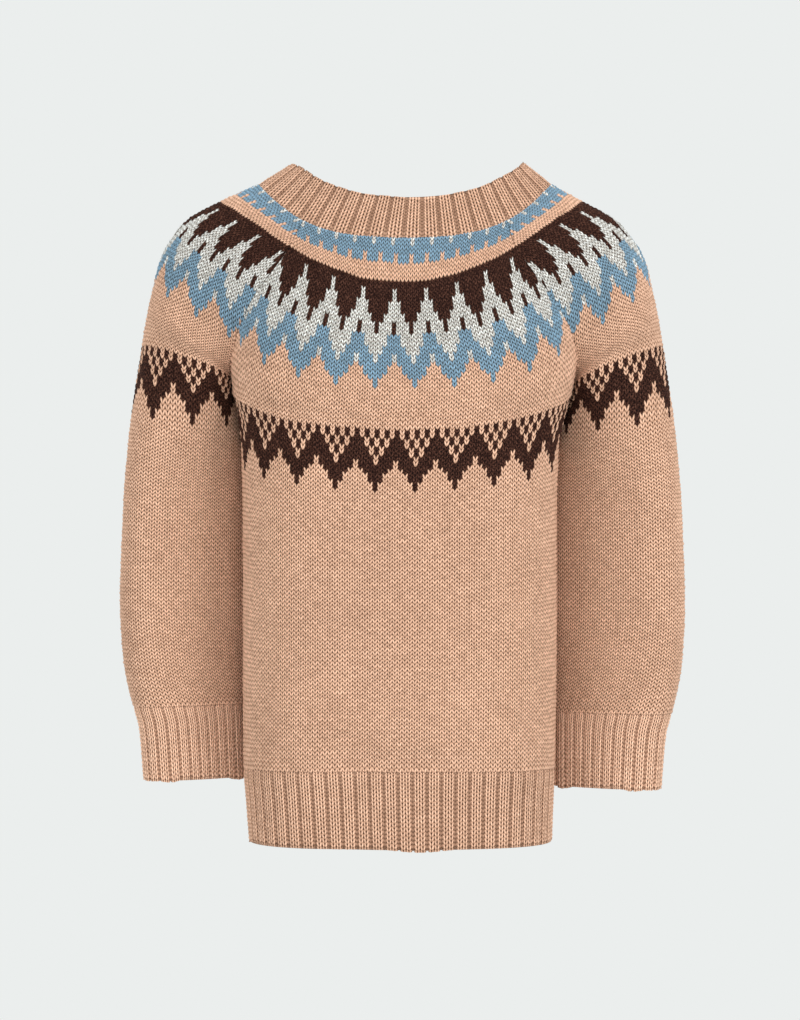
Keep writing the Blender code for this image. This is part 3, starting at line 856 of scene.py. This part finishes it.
def climbing(grid, row, stitch, climb):
    # rows of a sleeve climb towards its inner side, most of all round the band
    share = np.minimum(np.abs(stitch) / CLIMB_STITCHES, 1.0)
    window = np.interp(row, CLIMB_ROWS, CLIMB_SHARES)
    slid = grid.copy()
    for column, rise in enumerate(climb * share ** 2):
        for axis in range(grid.shape[2]):
            slid[:, column, axis] = np.interp(row - rise * window, row, grid[:, column, axis])
    return slid


def knitted(gauge, end_row, half_stitches, left_curve, right_curve, facing, sizes, seed, climb=0.0):
    # stockinette over two half sections that meet at their starts; gauge is its row and stitch tables
    rows_to_level, stitch_widths = gauge
    columns = 2 * half_stitches * STITCH_POINTS
    row = np.linspace(0.0, end_row, end_row * ROW_POINTS + 1)
    stitch = np.linspace(-half_stitches, half_stitches, columns + 1)
    level = at(rows_to_level, "level", row)
    width = at(stitch_widths, "width", row)
    distances = np.abs(stitch)[None, :] * width[:, None]
    middle = columns // 2
    left, left_length = along(left_curve, level, distances[:, :middle + 1])
    right, right_length = along(right_curve, level, distances[:, middle:])
    base = np.concatenate([left[:, :-1], right], axis=1)
    limit = np.where(stitch[None, :] < 0.0, left_length[:, None], right_length[:, None])
    if climb:
        base = climbing(base, row, stitch, climb)
        limit = climbing(limit[..., None], row, stitch, climb)[..., 0]
    inside = distances < limit - EDGE_MARGIN
    down = np.gradient(base, row, axis=0)
    across = np.gradient(base, axis=1)
    normal = facing * unit(np.cross(across, down))
    profile = np.array(STITCH_PROFILE)[np.arange(columns + 1) % STITCH_POINTS]
    on_line = (np.arange(len(row)) % ROW_POINTS == 0)[:, None]
    height = np.where(on_line, profile[None, :, 0], profile[None, :, 1])
    chance = np.random.default_rng(seed)
    cells = chance.normal(0.0, 1.0, (end_row + 2, 2 * half_stitches + 2))
    sway = chance.normal(0.0, 1.0, (end_row + 2, 2 * half_stitches + 2))
    cell_row = (np.arange(len(row)) // ROW_POINTS)[:, None]
    cell_column = ((np.arange(columns + 1) + STITCH_POINTS // 2) // STITCH_POINTS)[None, :]
    height = height * (1.0 + sizes.unevenness * cells[cell_row, cell_column])
    slide = SWAY_SHARE * sizes.unevenness * sway[cell_row, cell_column]
    dips = sizes.dip * profile[None, :, 2]
    drop = dips + slide + sizes.waviness * wander(stitch[None, :], row[:, None])
    edge_rows = np.minimum(row, end_row - row)
    ease = np.clip(edge_rows / END_EASE_ROWS, 0.0, 1.0)[:, None]
    crest = (height - FACE_HEIGHT) * sizes.relief / MM
    points = base + normal * np.where(inside, crest, -EDGE_SINK)[..., None]
    points = points + down * (np.where(inside, drop, 0.0) * ease)[..., None]
    coordinates = np.stack(np.broadcast_arrays(stitch[None, :], row[:, None]), axis=-1)
    return points, coordinates, base, normal


def knitted_piece(node, cloth, sizes, material, weld, flip):
    # the raised outer face and the plain inner face of one piece
    points, coordinates, base, normal = cloth
    thin = (slice(None, None, LINING_STEP), slice(None, None, LINING_STEP))
    inner = base[thin] - normal[thin] * sizes.wall / MM
    outer_mesh = grid_mesh(node + "_knit", points, coordinates, weld, flip)
    inner_mesh = grid_mesh(node + "_inside", inner, coordinates[thin], weld, not flip)
    inside = finish_piece(node + "_inside", inner_mesh, material, node)
    return finish_piece(node + "_knit", outer_mesh, material, node), inside


def panel(node, face, sizes, colours):
    def left(level, t):
        return body_half(level, t, -1, face)

    def right(level, t):
        return body_half(level, t, 1, face)

    cloth = knitted((BODY_ROWS_TO_LEVEL, BODY_STITCHES), BODY_END_ROW, BODY_HALF_STITCHES,
                    left, right, face, sizes, SEEDS[node])
    material = yarn_material(node + "_wool", colours, (BODY_BAND_ROW,) + PANEL_POINTS)
    return knitted_piece(node, cloth, sizes, material, None, face > 0)


def sleeve(node, side, sizes, colours):
    def front(level, t):
        return sleeve_half(level, 1.0 - t, side, -1)

    def behind(level, t):
        return sleeve_half(level, 1.0 - t, side, 1)

    def near_seam(place):
        return place.z < UNDERARM_Z and abs(place.x) < INNER_X

    halves = (behind, front) if side < 0 else (front, behind)
    climb = LEFT_CLIMB if side < 0 else RIGHT_CLIMB
    pattern_points = LEFT_POINTS if side < 0 else RIGHT_POINTS
    cloth = knitted((SLEEVE_ROWS_TO_LEVEL, SLEEVE_STITCHES), SLEEVE_END_ROW,
                    SLEEVE_HALF_STITCHES, *halves, -1, sizes, SEEDS[node], climb)
    material = yarn_material(node + "_wool", colours, (SLEEVE_BAND_ROW,) + pattern_points)
    return knitted_piece(node, cloth, sizes, material, near_seam, False)


def ribbed(kind, side, ribs, path, sizes, seed):
    # a ribbed ring; path rows hold level, inward offset, relief share and row count
    shares = np.array([(rib + step[0]) / ribs for rib in range(ribs) for step in RIB_PROFILE])
    heights = np.tile(np.array([step[1] for step in RIB_PROFILE]), ribs)
    dips = np.tile(np.array([step[2] for step in RIB_PROFILE]), ribs)
    order = np.array([level for level, _, _, _ in path])
    base = np.array([evenly(ring(level, kind, side), shares) for level in order])
    across = np.roll(base, -1, axis=1) - np.roll(base, 1, axis=1)
    along_band = np.array([evenly(ring(level + LEVEL_STEP, kind, side), shares)
                           - evenly(ring(level - LEVEL_STEP, kind, side), shares)
                           for level in order])
    normal = -side * unit(np.cross(across, along_band))
    along_band = unit(along_band)
    inward = np.array([offset for _, offset, _, _ in path])[:, None]
    share = np.array([relief for _, _, relief, _ in path])[:, None]
    row = np.array([count for _, _, _, count in path])[:, None]
    half_row = np.rint(row * ROW_POINTS).astype(int) % ROW_POINTS
    wave = np.where(heights[None, :] > KNIT_HEIGHT, np.array(KNIT_WAVE)[half_row],
                    np.array(PURL_WAVE)[half_row])
    chance = np.random.default_rng(seed)
    wobble = chance.normal(0.0, RIB_WOBBLE, base.shape[:2])
    height = heights[None, :] + wave + wobble
    raised = share * height * sizes.rib_height / MM
    points = base + normal * (raised - inward - sizes.rib_sink / MM)[..., None]
    worked = row[inward == 0.0].max()
    step = along_band * np.clip(worked - row, 0.0, 1.0)[..., None]
    points = points + step * (dips[None, :] * sizes.dip * RIB_DIP_SCALE)[..., None]
    reach = order[np.argmax(np.abs(order))] - order[0]
    hang = np.clip((order - order[0]) / reach, 0.0, 1.0)[:, None]
    turn = 2.0 * math.pi * shares[None, :]
    swell = 0.0
    for waves, start, size in EDGE_WAVES:
        swell = swell + size * np.sin(waves * turn + start)
    swing = swell * hang ** SWELL_POWER * sizes.edge_wave / MM
    drawn = 2.0 * np.minimum(heights, 0.5) - 1.0
    outward = np.sign(reach) * sizes.scallop / MM
    swing = swing + drawn[None, :] * hang ** SCALLOP_POWER * outward
    points = points + along_band * swing[..., None]
    stitch = np.array([rib * RIB_STITCHES + column_stitch(step[0]) for rib in range(ribs)
                       for step in RIB_PROFILE])
    coordinates = np.stack(np.broadcast_arrays(stitch[None, :], row), axis=-1)
    points = np.concatenate([points, points[:, :1]], axis=1)
    last = coordinates[:, :1].copy()
    last[..., 0] = ribs * RIB_STITCHES + column_stitch(0.0)
    coordinates = np.concatenate([coordinates, last], axis=1)
    rim = coordinates[-1:].copy()
    rim[..., 1] += 1.0
    points = np.concatenate([points, points[:1]], axis=0)
    coordinates = np.concatenate([coordinates, rim], axis=0)
    return points, coordinates


def column_stitch(share):
    # stitch coordinate inside a rib: the knit stitches, then the purl ones
    if share < KNIT_SHARE:
        return share / KNIT_SHARE * KNIT_STITCHES - 0.5
    purl_stitches = RIB_STITCHES - KNIT_STITCHES
    return KNIT_STITCHES - 0.5 + (share - KNIT_SHARE) / (1.0 - KNIT_SHARE) * purl_stitches


def band_path(first, last, rows, wall_mm, bulge):
    # rows of a band: down the outside, round its free edge, and back up inside
    tuck = (first - last) / rows * 0.5
    path = [(first + tuck, TUCK_DEPTH, TUCK_RELIEF, 0.0)]
    for k in range(rows * ROW_POINTS + 1):
        row = k / ROW_POINTS
        grown = min(1.0, FIRST_RELIEF + RELIEF_STEP * row)
        path.append((first + (last - first) * row / rows, 0.0, grown, row + 0.5))
    reach = (last - first) * bulge
    for bulge_share, wall_share, relief, past in EDGE_TURN:
        path.append((last + bulge_share * reach, wall_share * wall_mm, relief, rows + past))
    for k in range(1, INSIDE_ROWS + 1):
        path.append((last + (first - last) * k / INSIDE_ROWS, wall_mm, INSIDE_RELIEF,
                     rows + 1.0 + k * rows / INSIDE_ROWS))
    return path


def band(node, kind, side, ribs, first, last, rows, wall, bulge, context):
    # a ribbed band in place of its node
    sizes = context.scene.sweater_sizes
    name = node + "_rib"
    path = band_path(first, last, rows, wall / MM, bulge)
    points, coordinates = ribbed(kind, side, ribs, path, sizes, SEEDS[node])
    upward = last < first
    mesh = grid_mesh(name, points, coordinates, lambda place: True, (side < 0) != upward)
    # The band's purl grooves take painted shade, and its yarn a painted brightness for how the band is
    # lit
    material = yarn_material(name + "_wool", context.scene.sweater_colours, None,
                             *BAND_PAINTED_LIGHT[kind])
    return finish_piece(name, mesh, material, node)


class SWEATER_OT_panels(bpy.types.Operator):
    """Knit the front and back panels with their bands of pattern"""
    bl_idname = "sweater.panels"
    bl_label = "Front and back"

    def execute(self, context):
        sizes = context.scene.sweater_sizes
        colours = context.scene.sweater_colours
        for node, face in (("front", -1), ("back", 1)):
            piece, inside = panel(node, face, sizes, colours)
        return {"FINISHED"}


class SWEATER_OT_sleeves(bpy.types.Operator):
    """Knit the two raglan sleeves with their bands of pattern"""
    bl_idname = "sweater.sleeves"
    bl_label = "Sleeves"

    def execute(self, context):
        sizes = context.scene.sweater_sizes
        colours = context.scene.sweater_colours
        for node, side in (("sleeve_left", -1), ("sleeve_right", 1)):
            piece, inside = sleeve(node, side, sizes, colours)
        return {"FINISHED"}


class SWEATER_OT_hem(bpy.types.Operator):
    """Knit the ribbed band round the hem"""
    bl_idname = "sweater.hem"
    bl_label = "Hem band"

    def execute(self, context):
        sizes = context.scene.sweater_sizes
        piece = band("hem", "body", 1, sizes.hem_ribs, RIB_TOP, RIB_END, sizes.hem_rows,
                     sizes.wall, BULGE, context)
        return {"FINISHED"}


class SWEATER_OT_cuffs(bpy.types.Operator):
    """Knit the ribbed cuffs"""
    bl_idname = "sweater.cuffs"
    bl_label = "Cuffs"

    def execute(self, context):
        sizes = context.scene.sweater_sizes
        for node, side in (("cuff_left", -1), ("cuff_right", 1)):
            piece = band(node, "sleeve", side, sizes.cuff_ribs, RIB_TOP, RIB_END,
                         sizes.hem_rows, sizes.wall, BULGE, context)
        return {"FINISHED"}


class SWEATER_OT_neckband(bpy.types.Operator):
    """Knit the folded ribbed neckband"""
    bl_idname = "sweater.neckband"
    bl_label = "Neckband"

    def execute(self, context):
        sizes = context.scene.sweater_sizes
        piece = band("neckband", "neck", 1, sizes.neck_ribs, NECK_FOOT, NECK_EDGE,
                     sizes.neck_rows, sizes.band_wall, NECK_BULGE, context)
        return {"FINISHED"}


class SWEATER_OT_stage(bpy.types.Operator):
    """Set the pale floor and surroundings, the soft lights and the camera"""
    bl_idname = "sweater.stage"
    bl_label = "Stage"

    def execute(self, context):
        colours = context.scene.sweater_colours
        lay_floor(colours)
        hang_lamps()
        set_surroundings(colours)
        place_camera()
        return {"FINISHED"}


def lay_floor(colours):
    shape = bmesh.new()
    bmesh.ops.create_circle(shape, cap_ends=True, segments=FLOOR_SIDES, radius=FLOOR_RADIUS)
    bmesh.ops.translate(shape, verts=shape.verts[:], vec=(0.0, 0.0, FLOOR_Z))
    mesh = bpy.data.meshes.new("floor")
    shape.to_mesh(mesh)
    shape.free()
    floor = bpy.data.objects.new("floor", mesh)
    bpy.context.scene.collection.objects.link(floor)
    recipe = Recipe("floor_paper")
    grain = recipe.noise(recipe.node("ShaderNodeTexCoord", out=3), FLOOR_NOISE)
    colour = recipe.mix(FLOOR_GRAIN * grain, tuple(colours.floor), (1.0, 1.0, 1.0, 1.0))
    recipe.put(recipe.shader.inputs["Base Color"], colour)
    recipe.put(recipe.shader.inputs["Roughness"], FLOOR_ROUGHNESS)
    recipe.put(recipe.shader.inputs["Emission Color"], tuple(colours.floor_glow))
    recipe.put(recipe.shader.inputs["Emission Strength"], 1.0)
    mesh.materials.append(recipe.material)


def hang_lamps():
    for name, spot, size, power in LAMP_ROWS:
        light = bpy.data.lights.new(name, "AREA")
        light.shape = "DISK"
        light.size = size
        light.energy = power
        lamp = bpy.data.objects.new(name, light)
        lamp.location = spot
        way = Vector(LAMP_AIM) - Vector(spot)
        lamp.rotation_euler = way.to_track_quat("-Z", "Y").to_euler()
        bpy.context.scene.collection.objects.link(lamp)


def set_surroundings(colours):
    world = bpy.data.worlds.new("soft_world")
    world.use_nodes = True
    background = world.node_tree.nodes["Background"]
    background.inputs["Color"].default_value = tuple(colours.backdrop)
    background.inputs["Strength"].default_value = 1.0
    bpy.context.scene.world = world
    bpy.context.scene.view_settings.view_transform = "Standard"


def place_camera():
    lens = bpy.data.cameras.new("camera")
    lens.sensor_fit = "HORIZONTAL"
    lens.sensor_width = SENSOR
    lens.lens = SENSOR * CAMERA_DISTANCE / VIEW_WIDTH
    camera = bpy.data.objects.new("camera", lens)
    camera.location = (CAMERA_X, -CAMERA_DISTANCE, CAMERA_Z)
    camera.rotation_euler = (math.pi / 2.0, 0.0, 0.0)
    bpy.context.scene.collection.objects.link(camera)
    bpy.context.scene.camera = camera


class SWEATER_PT_panel(bpy.types.Panel):
    bl_idname = "SWEATER_PT_panel"
    bl_label = "Sweater"
    bl_space_type = "VIEW_3D"
    bl_region_type = "UI"
    bl_category = "Sweater"

    def draw(self, context):
        layout = self.layout
        for group in (context.scene.sweater_sizes, context.scene.sweater_colours):
            for key in group.bl_rna.properties.keys():
                if key not in ("rna_type", "name"):
                    layout.prop(group, key)
        for step in STEPS:
            layout.operator(step.bl_idname)


STEPS = (SWEATER_OT_stage, SWEATER_OT_panels, SWEATER_OT_sleeves, SWEATER_OT_hem,
         SWEATER_OT_cuffs, SWEATER_OT_neckband)
CLASSES = (SweaterSizes, SweaterColours) + STEPS + (SWEATER_PT_panel,)


def register():
    for item in CLASSES:
        bpy.utils.register_class(item)
    bpy.types.Scene.sweater_sizes = bpy.props.PointerProperty(type=SweaterSizes)
    bpy.types.Scene.sweater_colours = bpy.props.PointerProperty(type=SweaterColours)


def unregister():
    del bpy.types.Scene.sweater_colours
    del bpy.types.Scene.sweater_sizes
    for item in reversed(CLASSES):
        bpy.utils.unregister_class(item)


def main():
    register()
    bpy.ops.sweater.stage()
    bpy.ops.sweater.panels()
    bpy.ops.sweater.sleeves()
    bpy.ops.sweater.hem()
    bpy.ops.sweater.cuffs()
    bpy.ops.sweater.neckband()


if __name__ == "__main__":
    main()
